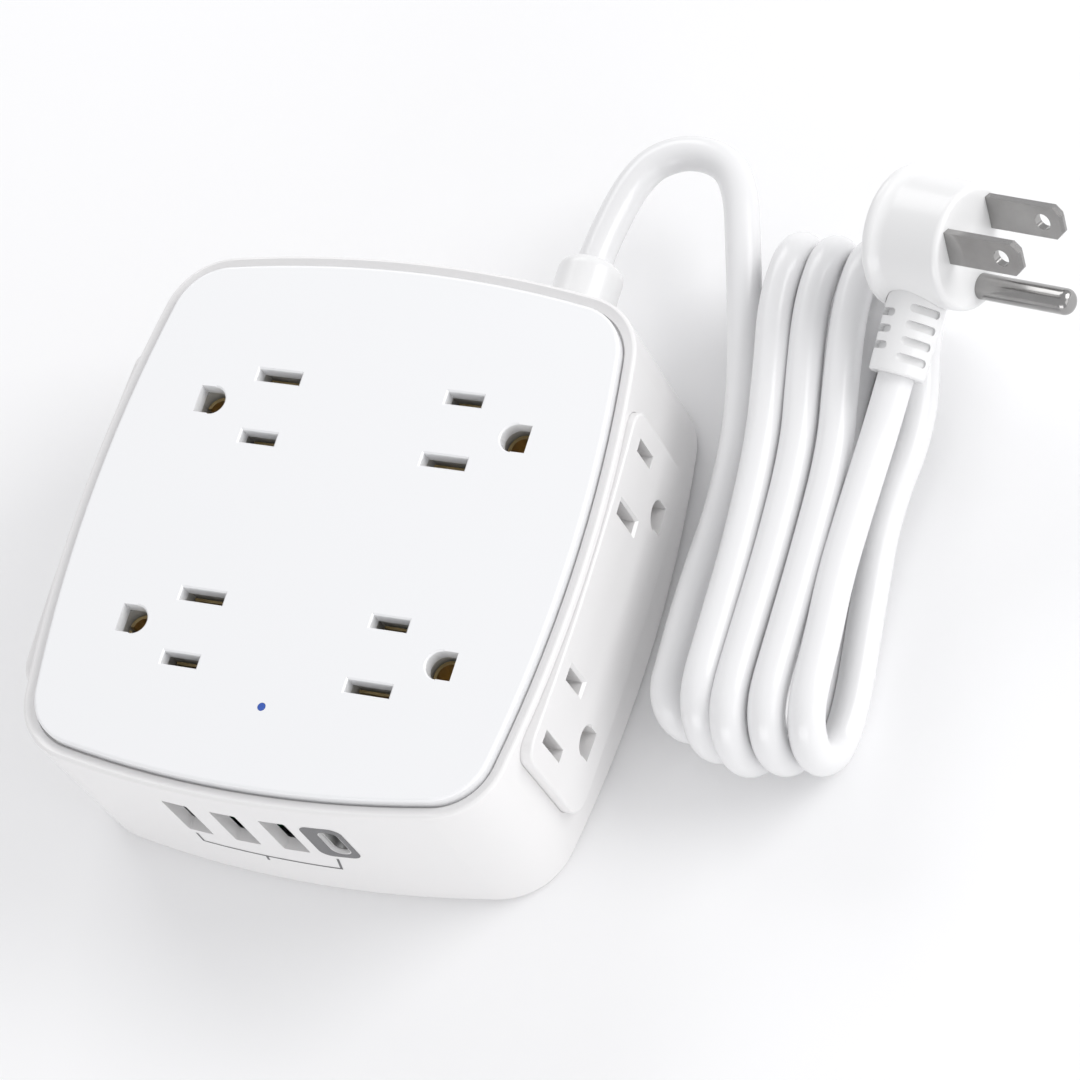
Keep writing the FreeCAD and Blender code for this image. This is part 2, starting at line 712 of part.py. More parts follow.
def make_status_led():
    """The light-emitting diode under the light pipe."""
    z0 = usb_board_z + board_thickness
    top = deck_bottom - 9.5
    lens = Part.makeCylinder(1.4, top - z0 - 2, Vector(0, led_y, z0 + 2))
    collar = Part.makeCylinder(1.5, 0.8, Vector(0, led_y, z0 + 2))
    leads = [rod(Vector(s * 0.7, led_y, z0), Z_AXIS, 0.25, 3) for s in (1, -1)]
    return fuse_all([lens, collar] + leads)


def make_light_pipe():
    """The clear rod that carries the status light to the face plate."""
    bottom = deck_bottom - 9.5 + piece_gap
    pipe = Part.makeCylinder(led_pipe_radius, body_height - bottom, Vector(0, led_y, bottom))
    flange = Part.makeCylinder(1.6, 0.8, Vector(0, led_y, plate_bottom - 0.9))
    return fuse_all([pipe, flange])


# ---- cord: straight runs joined by tangent arcs ----
lead_route = [Vector(gland_x, gland_end_y, gland_z), Vector(gland_x, 72.5, gland_z),
              Vector(28.2, 87.9, 19.9), Vector(34.6, 93.3, 19.6), Vector(42.8, 93.3, 19.2),
              Vector(48.4, 88.5, 18.8), Vector(52.6, 75.4, 18.0), Vector(57.0, 60.5, 16.9),
              Vector(61.4, 44.0, 16.0), Vector(63.1, 26.0, 15.3), Vector(62.3, 10.0, 15.0),
              Vector(62.3, 1.0, 15.0)]
tail_route = [Vector(90.6, 10.0, 22.45), Vector(90.6, 20.5, 22.45), Vector(90.9, 31.5, 22.7)]


def route_path(points, name):
    """Straight runs with an arc at each inner point, as large as its two runs allow."""
    edges, radii, start = [], [], points[0]
    for before, at, after in zip(points, points[1:], points[2:]):
        run_in, run_out = (at - before), (after - at)
        half_turn = run_in.getAngle(run_out) / 2
        reach = 0.45 * min(run_in.Length, run_out.Length)
        radii.append(reach / math.tan(half_turn))
        entry = at - run_in * (reach / run_in.Length)
        leave = at + run_out * (reach / run_out.Length)
        sagitta = radii[-1] * (1 / math.cos(half_turn) - 1)
        inward = ((entry - at) + (leave - at)).normalize()
        edges.append(Part.LineSegment(start, entry).toShape())
        edges.append(Part.Arc(entry, at + inward * sagitta, leave).toShape())
        start = leave
    edges.append(Part.LineSegment(start, points[-1]).toShape())
    print(name, "arc radii in diameters:", [round(r / cord_diameter, 1) for r in radii])
    return Part.Wire(edges)


def make_tube(points, name):
    """A round tube along a route."""
    path = route_path(points, name)
    direction = (points[1] - points[0]).normalize()
    circle = Part.Wire(Part.Circle(points[0], direction, cord_radius).toShape())
    tube = path.makePipeShell([circle], True, False)
    expected = math.pi * cord_radius ** 2 * path.Length
    print(name, "length", round(path.Length, 1), "volume ratio", round(tube.Volume / expected, 4))
    return tube


def make_cord_inner():
    """The end of the cord inside the body, from the gland past the clamp."""
    return rod(Vector(gland_x, cord_inner_end_y, gland_z), Y_AXIS, cord_radius,
               gland_end_y - cord_inner_end_y)


def make_core(offset):
    """One insulated core, from the cord's end down to the surge board."""
    x, z, bend = gland_x + offset, gland_z, 5.0
    y = cord_inner_end_y - 2.0
    start = Vector(x, cord_inner_end_y, z)
    turn_mid = Vector(x, y - bend * math.sin(math.pi / 4), z - bend * (1 - math.cos(math.pi / 4)))
    edges = [Part.LineSegment(start, Vector(x, y, z)).toShape(),
             Part.Arc(Vector(x, y, z), turn_mid, Vector(x, y - bend, z - bend)).toShape(),
             Part.LineSegment(Vector(x, y - bend, z - bend), Vector(x, y - bend, component_z)).toShape()]
    circle = Part.Wire(Part.Circle(start, -Y_AXIS, core_radius).toShape())
    return Part.Wire(edges).makePipeShell([circle], True, False)


def make_gland():
    """The cord collar: a barrel through the back wall with a flange inside it."""
    barrel = rod(Vector(gland_x, gland_flange_y, gland_z), Y_AXIS, gland_radius,
                 gland_end_y - gland_flange_y)
    rim = [e for e in barrel.Edges if abs(e.BoundBox.YMin - gland_end_y) < 1e-4]
    barrel = barrel.makeFillet(gland_end_fillet, rim)
    flange = rod(Vector(gland_x, gland_flange_y, gland_z), Y_AXIS, gland_flange_radius,
                 gland_flange_thickness)
    bore = rod(Vector(gland_x, gland_flange_y - 1, gland_z), Y_AXIS, cord_radius + 0.05,
               gland_end_y - gland_flange_y + 2)
    return fuse_all([barrel, flange]).cut(bore)


def make_cord_clamp():
    """The bar that presses the cord into the cradle under the deck."""
    bar = rounded_block(gland_x - clamp_half_width, gland_x + clamp_half_width, clamp_y,
                        clamp_y + clamp_depth, gland_z - cord_radius - 3, gland_z - 0.4, 1.0, Y_AXIS)
    cutters = [rod(Vector(gland_x, clamp_y - 1, gland_z), Y_AXIS, cord_radius + 0.05, clamp_depth + 2)]
    for sign in (1, -1):
        cutters.append(rod(Vector(gland_x + sign * clamp_screw_offset, clamp_y + clamp_depth / 2, 0),
                           Z_AXIS, clamp_pilot_radius + 0.2, gland_z))
    return bar.cut(cutters)


def make_clamp_screws():
    """The two screws of the cord clamp, in one group."""
    group = []
    for sign in (1, -1):
        piece = screw(2.2, 1.6, clamp_screw_radius, 14.0, True)
        piece.translate(Vector(gland_x + sign * clamp_screw_offset, clamp_y + clamp_depth / 2,
                               gland_z - cord_radius - 3))
        group.append(piece)
    return Part.makeCompound(group)


def stadium_slab(x0, x1, y0, y1, height):
    """A slab along X whose two ends along Y are half-round."""
    r = height / 2
    middle = block(x0, x1, y0 + r, y1 - r, 0, height)
    ends = [rod(Vector(x0, y, r), X_AXIS, r, x1 - x0) for y in (y0 + r, y1 - r)]
    return fuse_all([middle] + ends)


def make_cord_hank():
    """The outer shape of the hank: its stacked turns, and the lower steps at two corners."""
    outline = [(61.0, 82), (61.0, 62.5), (67.0, 41), (67.0, 1.0), (67.0, -26), (96.2, -26),
               (96.2, 10), (87.0, 10), (87.0, 54), (82.2, 62), (82.2, 82)]
    points = [Vector(x, y, 0) for x, y in outline]
    plan = Part.Face(Part.makePolygon(points + points[:1])).extrude(Vector(0, 0, hank_height))
    turns = plan.common(stadium_slab(55, 100, -24.8, 81.0, hank_height))
    first_fold = block(58.9, 70, -20.5, 1.0, 0, 18.5)
    fold_edges = [e for e in first_fold.Edges
                  if e.BoundBox.YMax < -20 and e.BoundBox.XLength > 5]
    first_fold = first_fold.makeFillet(6.0, fold_edges)
    last_strand = block(82, 93.2, 5, 78, 0, 12.5)
    return fuse_all([turns, first_fold, last_strand])


# ---- plug ----
def plug_placement():
    """Local X along the prongs, local Y along the cord, origin on the plug's axis."""
    along = Vector(plug_prong_direction).normalize()
    cord = Vector(plug_cord_direction)
    cord = (cord - along * cord.dot(along)).normalize()
    third = along.cross(cord)
    o = plug_axis_point
    return FreeCAD.Placement(FreeCAD.Matrix(along.x, cord.x, third.x, o.x, along.y, cord.y, third.y, o.y,
                                            along.z, cord.z, third.z, o.z, 0, 0, 0, 1))


plug_frame = plug_placement()
half_sqrt = math.sqrt(0.5)
to_pin = Vector(0, half_sqrt, half_sqrt)
blade_side = X_AXIS.cross(to_pin)


def place_plug_piece(shape):
    """Carry a shape from the plug's local frame to the body's."""
    shape.Placement = plug_frame.multiply(shape.Placement)
    return shape


def prong_frame(s, w):
    """Local frame of a prong: X out of the face, Y across, Z towards the pin."""
    p = to_pin * s + blade_side * w + Vector(plug_face_x, 0, 0)
    a, b = blade_side, to_pin
    return FreeCAD.Placement(FreeCAD.Matrix(1, -a.x, b.x, p.x, 0, -a.y, b.y, p.y, 0, -a.z, b.z, p.z,
                                            0, 0, 0, 1))


def blade_solid(gap):
    """A flat blade with a bevelled tip and a hole, or its clearance body."""
    half_w, half_t = plug_blade_width / 2 + gap, plug_blade_thickness / 2 + gap
    root = -plug_blade_root - gap
    if gap:
        return block(root, 1, -half_t, half_t, -half_w, half_w)
    tip, bevel = plug_blade_length, 1.7
    outline = [(root, -half_w), (tip - bevel, -half_w), (tip, -half_w + bevel), (tip, half_w - bevel),
               (tip - bevel, half_w), (root, half_w)]
    points = [Vector(x, -half_t, z) for x, z in outline]
    blade = Part.Face(Part.makePolygon(points + points[:1])).extrude(Vector(0, 2 * half_t, 0))
    blade = blade.makeChamfer(0.45, [e for e in blade.Edges
                                     if abs(e.BoundBox.XMin - tip) < 1e-4 and e.BoundBox.ZLength > 1])
    return blade.cut(rod(Vector(11.8, -2, 0), Y_AXIS, plug_blade_hole, 4))


def pin_solid(gap):
    """The round ground pin with a domed end, or its clearance body."""
    root = -plug_blade_root - gap
    if gap:
        return rod(Vector(root, 0, 0), X_AXIS, plug_pin_radius + gap, -root + 1)
    pin = rod(Vector(root, 0, 0), X_AXIS, plug_pin_radius, plug_pin_length - root)
    end = [e for e in pin.Edges if abs(e.BoundBox.XMin - plug_pin_length) < 1e-4]
    return pin.makeFillet(1.6, end)


prong_places = {"plug_neutral_blade": (plug_blade_line, -blade_pitch / 2),
                "plug_hot_blade": (plug_blade_line, blade_pitch / 2),
                "plug_ground_pin": (plug_blade_line + plug_pin_offset, 0.0)}


def prong(name, gap):
    """One prong, or its clearance body, in the plug's local frame."""
    shape = pin_solid(gap) if name == "plug_ground_pin" else blade_solid(gap)
    shape.Placement = prong_frame(*prong_places[name])
    return shape


def relief_cone(gap):
    """The outside of the strain relief, along local Y."""
    return Part.makeCone(relief_root_radius + gap, relief_tip_radius + gap, relief_tip_y - relief_inner_y,
                         Vector(0, relief_inner_y, 0), Y_AXIS)


insert_x0, insert_x1, insert_radius = 2.2, 5.6, 8.6


def make_plug_body():
    """The moulded plug: a domed flange, a short barrel and the face."""
    back, rim = plug_flange_x - plug_dome, plug_flange_x
    fr, br, face = plug_flange_radius, plug_body_radius, plug_face_radius
    span, rise = fr - 0.25, rim - 0.6 - back
    dome_radius = (span ** 2 + rise ** 2) / (2 * rise)
    shoulder = dome_radius - (dome_radius ** 2 - (0.72 * fr) ** 2) ** 0.5
    hub = Vector(back, 0, 0)
    p = [Vector(back, 1.2, 0), Vector(back + shoulder, 0.72 * fr, 0), Vector(rim - 0.6, span, 0),
         Vector(rim + 0.3, fr, 0), Vector(rim + 1.3, fr - 0.35, 0), Vector(rim + 3.4, br, 0),
         Vector(plug_face_x - 1.1, face, 0), Vector(plug_face_x, face - 1.1, 0), Vector(plug_face_x, 0, 0)]
    corner = Vector(plug_face_x - 1.1 * (1 - half_sqrt), face - 1.1 * (1 - half_sqrt), 0)
    dome = Part.Arc(p[0], p[1], p[2]).toShape()
    edge = Part.Arc(p[2], p[3], p[4]).toShape()
    neck = Part.Arc(p[4], Vector(rim + 2.2, br + 0.25, 0), p[5]).toShape()
    profile = [dome, edge, neck, Part.LineSegment(p[5], p[6]).toShape(),
               Part.Arc(p[6], corner, p[7]).toShape(), Part.LineSegment(p[7], p[8]).toShape(),
               Part.LineSegment(p[8], hub).toShape(), Part.LineSegment(hub, p[0]).toShape()]
    body = Part.Face(Part.Wire(profile)).revolve(Vector(0, 0, 0), X_AXIS, 360)
    cutters = [prong(name, 0.02) for name in prong_places]
    cutters.append(rod(Vector(insert_x0 - 0.05, 0, 0), X_AXIS, insert_radius + 0.05,
                       insert_x1 - insert_x0 + 0.1))
    cutters.append(relief_cone(0.02))
    cutters.append(rod(Vector(0, relief_inner_y, 0), Y_AXIS, relief_root_radius + 0.02, 6))
    return place_plug_piece(body.cut(cutters))


def make_plug_insert():
    """The rigid bridge inside the plug that holds its three prongs."""
    disc = rod(Vector(insert_x0, 0, 0), X_AXIS, insert_radius, insert_x1 - insert_x0)
    return place_plug_piece(disc.cut([prong(name, 0.02) for name in prong_places]))


def relief_slot(y, span, turn):
    """One round-ended slot across the strain relief, turned about the cord."""
    half = relief_slot_width / 2
    slot = rounded_block(-span / 2, span / 2, y - half, y + half, cord_radius + 0.45,
                         relief_root_radius + 2, half - 0.05, Z_AXIS)
    slot.rotate(Vector(0, 0, 0), Y_AXIS, turn)
    return slot


def make_strain_relief():
    """The slotted sleeve where the cord leaves the plug."""
    sleeve = relief_cone(0)
    tip = [e for e in sleeve.Edges if abs(e.BoundBox.YMin - relief_tip_y) < 1e-4]
    sleeve = sleeve.makeFillet(0.5, tip)
    bore = rod(Vector(0, relief_inner_y - 1, 0), Y_AXIS, cord_radius + 0.05, relief_tip_y)
    sleeve = sleeve.cut(bore)
    cutters = []
    for row in range(relief_slot_rows):
        y = relief_tip_y - relief_slot_pitch * (row + 1)
        for turn in (0, 180):
            cutters.append(relief_slot(y, relief_slot_span, relief_slot_turn + turn))
            if row < relief_slot_rows - 1:
                cutters.append(relief_slot(y - relief_slot_pitch / 2, relief_notch_span,
                                           relief_slot_turn + 90 + turn))
    return place_plug_piece(sleeve.cut(cutters))


def make_cord_in_plug():
    """The cord's end inside the strain relief."""
    return place_plug_piece(rod(Vector(0, relief_inner_y + 0.4, 0), Y_AXIS, cord_radius,
                                relief_tip_y - relief_inner_y - 0.4))


def tail_points():
    """The route from the hank to the strain relief's tip, in line with the relief at its end."""
    before_tip = plug_frame.multVec(Vector(0, relief_tip_y + 8.3, 0))
    tip = plug_frame.multVec(Vector(0, relief_tip_y, 0))
    return tail_route + [before_tip, tip]


# ---- all nodes ----
def build_nodes():
    """Every piece of the object, by node name."""
    nodes = {"upper_shell": make_upper_shell(), "face_plate": make_face_plate(),
             "base_cover": make_base_cover(), "base_screws": make_base_screws(),
             "top_contact_carrier": make_top_carrier(),
             "left_outlet_panel": make_side_panel(-1), "right_outlet_panel": make_side_panel(1),
             "left_contact_carrier": make_side_carrier(-1),
             "right_contact_carrier": make_side_carrier(1)}
    for column in column_frames:
        nodes[column + "_hot_bus"] = make_blade_bus(column, 1)
        nodes[column + "_neutral_bus"] = make_blade_bus(column, -1)
        nodes[column + "_ground_bus"] = make_ground_bus(column)
    for index in range(usb_count):
        nodes["usb_a_shell_%d" % (index + 1)] = make_usb_a_shell(index)
        nodes["usb_a_tongue_%d" % (index + 1)] = make_usb_a_tongue(index)
    nodes.update({"usb_c_shell": make_usb_c_shell(), "usb_c_tongue": make_usb_c_tongue(),
                  "usb_c_block": make_usb_c_block(), "usb_board": make_usb_board(),
                  "surge_board": make_surge_board()})
    for index, x in enumerate((-22.0, -14.5, -7.0)):
        nodes["varistor_%d" % (index + 1)] = make_varistor(x, 21.0)
    for index in range(2):
        nodes["electrolytic_capacitor_%d" % (index + 1)] = make_electrolytic(index)
    nodes.update({"thermal_fuse": make_thermal_fuse(), "film_capacitor": make_film_capacitor(),
                  "charger_transformer": make_transformer(), "status_led": make_status_led(),
                  "light_pipe": make_light_pipe(), "cord_gland": make_gland(),
                  "cord_clamp": make_cord_clamp(), "cord_clamp_screws": make_clamp_screws(),
                  "cord_inner": make_cord_inner()})
    for name, offset in (("core_hot", -2.3), ("core_ground", 0.0), ("core_neutral", 2.3)):
        nodes[name] = make_core(offset)
    nodes.update({"cord_lead": make_tube(lead_route, "cord_lead"), "cord_hank": make_cord_hank(),
                  "cord_tail": make_tube(tail_points(), "cord_tail"),
                  "cord_in_plug": make_cord_in_plug(), "plug_strain_relief": make_strain_relief(),
                  "plug_body": make_plug_body(), "plug_insert": make_plug_insert()})
    for name in prong_places:
        nodes[name] = place_plug_piece(prong(name, 0))
    return nodes


def main():
    """Build and write every node."""
    os.makedirs("parts", exist_ok=True)
    for name, shape in build_nodes().items():
        if not shape.isValid() or shape.Volume <= 0:
            print("check", name, shape.isValid(), shape.Volume)
        print(name, len(shape.Solids), round(shape.Volume, 1))
        shape.exportStep("parts/" + name + ".step")


main()
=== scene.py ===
import json
import logging
import math
from dataclasses import dataclass, field
from enum import Enum
from typing import Any, Sequence

import bpy
from mathutils import Matrix, Vector

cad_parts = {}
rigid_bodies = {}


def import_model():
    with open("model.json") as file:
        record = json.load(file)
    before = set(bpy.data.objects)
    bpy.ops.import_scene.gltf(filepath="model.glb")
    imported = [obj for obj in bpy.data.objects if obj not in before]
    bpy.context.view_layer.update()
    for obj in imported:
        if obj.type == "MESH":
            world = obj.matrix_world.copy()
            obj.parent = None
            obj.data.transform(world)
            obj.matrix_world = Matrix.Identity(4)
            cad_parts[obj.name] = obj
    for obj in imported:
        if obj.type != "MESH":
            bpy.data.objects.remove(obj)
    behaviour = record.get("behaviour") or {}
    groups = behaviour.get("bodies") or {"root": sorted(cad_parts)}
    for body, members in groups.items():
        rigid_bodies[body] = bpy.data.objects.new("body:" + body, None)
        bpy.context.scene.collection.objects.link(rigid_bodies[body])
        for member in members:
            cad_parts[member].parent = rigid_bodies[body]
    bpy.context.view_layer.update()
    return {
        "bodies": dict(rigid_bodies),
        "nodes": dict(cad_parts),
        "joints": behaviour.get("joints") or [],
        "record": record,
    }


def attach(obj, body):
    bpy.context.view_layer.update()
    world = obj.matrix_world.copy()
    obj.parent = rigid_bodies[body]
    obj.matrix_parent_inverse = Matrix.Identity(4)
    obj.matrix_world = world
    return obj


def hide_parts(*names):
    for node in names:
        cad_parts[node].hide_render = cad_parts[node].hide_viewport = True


# Looks of a surge-protector power cube with its wound cord and flat plug.
# Sizes are millimetres in the row's frame unless a name says otherwise; MM turns them to metres.

MM = 0.001
LOG = logging.getLogger("power_cube")

Triple = tuple[float, float, float]
Pair = tuple[float, float]


# ---------------------------------------------------------------- shader graph
class Wire:
    """A value socket that takes part in arithmetic and adds the Math nodes it needs."""

    def __init__(self, graph: "Graph", socket: bpy.types.NodeSocket) -> None:
        """Keep the graph and the output socket."""
        self.graph = graph
        self.socket = socket

    def _math(self, operation: str, first: "Wire | float", second: "Wire | float") -> "Wire":
        """Add one Math node.

        Args:
            operation: the Math node's operation.
            first: its first operand.
            second: its second operand.

        Returns:
            The node's value.
        """
        return self.graph.node("ShaderNodeMath", {"operation": operation}, {0: first, 1: second})["Value"]

    def __add__(self, other: "Wire | float") -> "Wire":
        """Sum."""
        return self._math("ADD", self, other)

    def __radd__(self, other: float) -> "Wire":
        """Sum with a number on the left."""
        return self._math("ADD", other, self)

    def __sub__(self, other: "Wire | float") -> "Wire":
        """Difference."""
        return self._math("SUBTRACT", self, other)

    def __mul__(self, other: "Wire | float") -> "Wire":
        """Product."""
        return self._math("MULTIPLY", self, other)

    def __lt__(self, other: "Wire | float") -> "Wire":
        """One where this value is smaller, zero elsewhere."""
        return self._math("LESS_THAN", self, other)


class NodeHandle:
    """A placed node whose outputs are read as wires."""

    def __init__(self, graph: "Graph", node: bpy.types.Node) -> None:
        """Keep the graph and the node."""
        self.graph = graph
        self.node = node

    def __getitem__(self, output: str | int) -> Wire:
        """The named output."""
        return Wire(self.graph, self.node.outputs[output])


class Graph:
    """The node tree of one material."""

    def __init__(self, name: str) -> None:
        """Start an empty material with an output node.

        Args:
            name: the material's name.
        """
        self.material = bpy.data.materials.new(name)
        self.material.use_nodes = True
        self.tree = self.material.node_tree
        self.tree.nodes.clear()
        self.output = self.tree.nodes.new("ShaderNodeOutputMaterial")

    def node(self, kind: str, settings: dict[str, Any] | None = None,
             inputs: dict[str | int, Any] | None = None) -> NodeHandle:
        """Add a node of any type.

        Args:
            kind: the node's type.
            settings: properties, set first.
            inputs: values or wires for its sockets.

        Returns:
            A handle on the node.
        """
        node = self.tree.nodes.new(kind)
        for key, value in (settings or {}).items():
            setattr(node, key, value)
        for key, value in (inputs or {}).items():
            socket = node.inputs[key]
            if isinstance(value, Wire):
                self.tree.links.new(value.socket, socket)
            elif isinstance(value, tuple) and socket.type == "RGBA":
                socket.default_value = (*value[:3], 1.0)
            else:
                socket.default_value = value
        return NodeHandle(self, node)

    def mix(self, factor: Wire | float, first: Wire | Triple, second: Wire | Triple) -> Wire:
        """Mix two colours.

        Args:
            factor: share of the second colour.
            first: colour at zero.
            second: colour at one.

        Returns:
            The mixed colour.
        """
        handle = self.node("ShaderNodeMix", {"data_type": "RGBA"}, {0: factor, 6: first, 7: second})
        return handle[2]

    def place(self, scale: Triple = (1.0, 1.0, 1.0)) -> Wire:
        """Object coordinates, stretched.

        Args:
            scale: factor along each axis.

        Returns:
            The vector.
        """
        coords = self.node("ShaderNodeTexCoord")["Object"]
        if scale == (1.0, 1.0, 1.0):
            return coords
        return self.node("ShaderNodeVectorMath", {"operation": "MULTIPLY"}, {0: coords, 1: scale})["Vector"]

    def noise(self, size_mm: float, detail: float = 2.0, stretch: Triple = (1.0, 1.0, 1.0)) -> Wire:
        """Noise whose features are about size_mm wide.

        Args:
            size_mm: feature size.
            detail: octaves.
            stretch: factor along each axis.

        Returns:
            A value near one half.
        """
        handle = self.node("ShaderNodeTexNoise", {"noise_dimensions": "3D"},
                           {"Vector": self.place(stretch), "Scale": 1.0 / (size_mm * MM), "Detail": detail,
                            "Roughness": 0.55})
        return handle["Fac"]

    def bump(self, height: Wire, depth_mm: float) -> Wire:
        """A Bump node.

        Args:
            height: the height, from zero to one.
            depth_mm: how deep one unit of height is.

        Returns:
            The normal.
        """
        inputs = {"Height": height, "Distance": depth_mm * MM, "Strength": 1.0}
        return self.node("ShaderNodeBump", None, inputs)["Normal"]

    def finish(self, plain: dict[str, Any], **varying: Wire) -> bpy.types.Material:
        """Add the Principled shader and close the graph.

        Args:
            plain: plain socket values by socket name.
            varying: wires by socket name, with underscores for spaces.

        Returns:
            The material.
        """
        inputs = dict(plain)
        inputs.update({key.replace("_", " "): wire for key, wire in varying.items()})
        shader = self.node("ShaderNodeBsdfPrincipled", None, inputs)
        self.tree.links.new(shader.node.outputs["BSDF"], self.output.inputs["Surface"])
        return self.material


# ---------------------------------------------------------------- finishes
@dataclass(frozen=True)
class MouldedPlastic:
    """A moulded plastic with a fine grain and a faint unevenness of colour.

    Attributes:
        name: material name.
        colour: base colour.
        roughness: mean roughness.
        grain_mm: width of the grain.
        grain_depth_mm: depth of the grain.
        tint: colour that the unevenness leans to.
        unevenness: share of the tint.
        coat: clear gloss over the plastic.
    """

    name: str
    colour: Triple
    roughness: float = 0.36
    grain_mm: float = 0.22
    grain_depth_mm: float = 0.002
    tint: Triple = (0.78, 0.78, 0.80)
    unevenness: float = 0.10
    coat: float = 0.0

    def build(self) -> bpy.types.Material:
        """Make the material."""
        graph = Graph(self.name)
        cloud = graph.noise(26.0, 3.0)
        grain = graph.noise(self.grain_mm, 3.0)
        colour = graph.mix(cloud * self.unevenness, self.colour, self.tint)
        rough = self.roughness - 0.04 + grain * 0.05 + cloud * 0.03
        plain = {"Coat Weight": self.coat, "Coat Roughness": 0.12, "IOR": 1.49}
        return graph.finish(plain, Base_Color=colour, Roughness=rough,
                            Normal=graph.bump(grain, self.grain_depth_mm))


@dataclass(frozen=True)
class RolledMetal:
    """Sheet or drawn metal with fine lines and a little tarnish.

    Attributes:
        name: material name.
        colour: clean metal.
        tarnish: colour of the dull patches.
        roughness: mean roughness.
        dullness: share of tarnish.
        lines: stretch of the fine lines along each axis.
    """

    name: str
    colour: Triple
    tarnish: Triple
    roughness: float = 0.25
    dullness: float = 0.35
    lines: Triple = (1.0, 1.0, 1.0)

    def build(self) -> bpy.types.Material:
        """Make the material."""
        graph = Graph(self.name)
        patches = graph.noise(3.0, 4.0)
        lines = graph.noise(0.35, 2.0, self.lines)
        colour = graph.mix(patches * self.dullness, self.colour, self.tarnish)
        rough = self.roughness + patches * 0.10 + lines * 0.06 - 0.06
        return graph.finish({"Metallic": 1.0}, Base_Color=colour, Roughness=rough,
                            Normal=graph.bump(lines, 0.002))


@dataclass(frozen=True)
class PrintedBoard:
    """Solder mask with paler tracks and tinned pads.

    Attributes:
        name: material name.
        mask: solder mask over bare board.
        track: solder mask over copper.
        pad: tinned pad.
    """

    name: str
    mask: Triple = (0.015, 0.13, 0.05)
    track: Triple = (0.03, 0.23, 0.09)
    pad: Triple = (0.62, 0.62, 0.60)

    def build(self) -> bpy.types.Material:
        """Make the material."""
        graph = Graph(self.name)
        cells = graph.node("ShaderNodeTexVoronoi", {"feature": "DISTANCE_TO_EDGE"},
                           {"Vector": graph.place(), "Scale": 1.0 / (7.0 * MM)})["Distance"]
        pads = graph.node("ShaderNodeTexVoronoi", {"feature": "F1"},
                          {"Vector": graph.place(), "Scale": 1.0 / (5.0 * MM)})["Distance"]
        tracks = graph.mix(cells < 0.08, self.track, self.mask)
        colour = graph.mix(pads < 0.14, tracks, self.pad)
        return graph.finish({"Roughness": 0.35}, Base_Color=colour, Normal=graph.bump(cells, 0.03))


@dataclass(frozen=True)
class ClearGlow:
    """A tinted light that shines a little.

    Attributes:
        name: material name.
        colour: colour of the light.
        strength: emission strength.
    """

    name: str
    colour: Triple
    strength: float

    def build(self) -> bpy.types.Material:
        """Make the material."""
        graph = Graph(self.name)
        core = graph.noise(0.6, 1.0)
        glow = graph.mix(core, self.colour, tuple(min(1.0, c * 1.3) for c in self.colour))
        return graph.finish({"Roughness": 0.15, "Emission Strength": self.strength},
                            Base_Color=glow, Emission_Color=glow)


@dataclass(frozen=True)
class PrintInk:
    """Pad-printed ink with slightly uneven cover.

    Attributes:
        name: material name.
        colour: ink colour.
        thin: colour where the ink is thin.
    """

    name: str
    colour: Triple
    thin: Triple

    def build(self) -> bpy.types.Material:
        """Make the material."""
        graph = Graph(self.name)
        cover = graph.noise(0.5, 3.0)
        return graph.finish({"Roughness": 0.45}, Base_Color=graph.mix(cover, self.colour, self.thin))


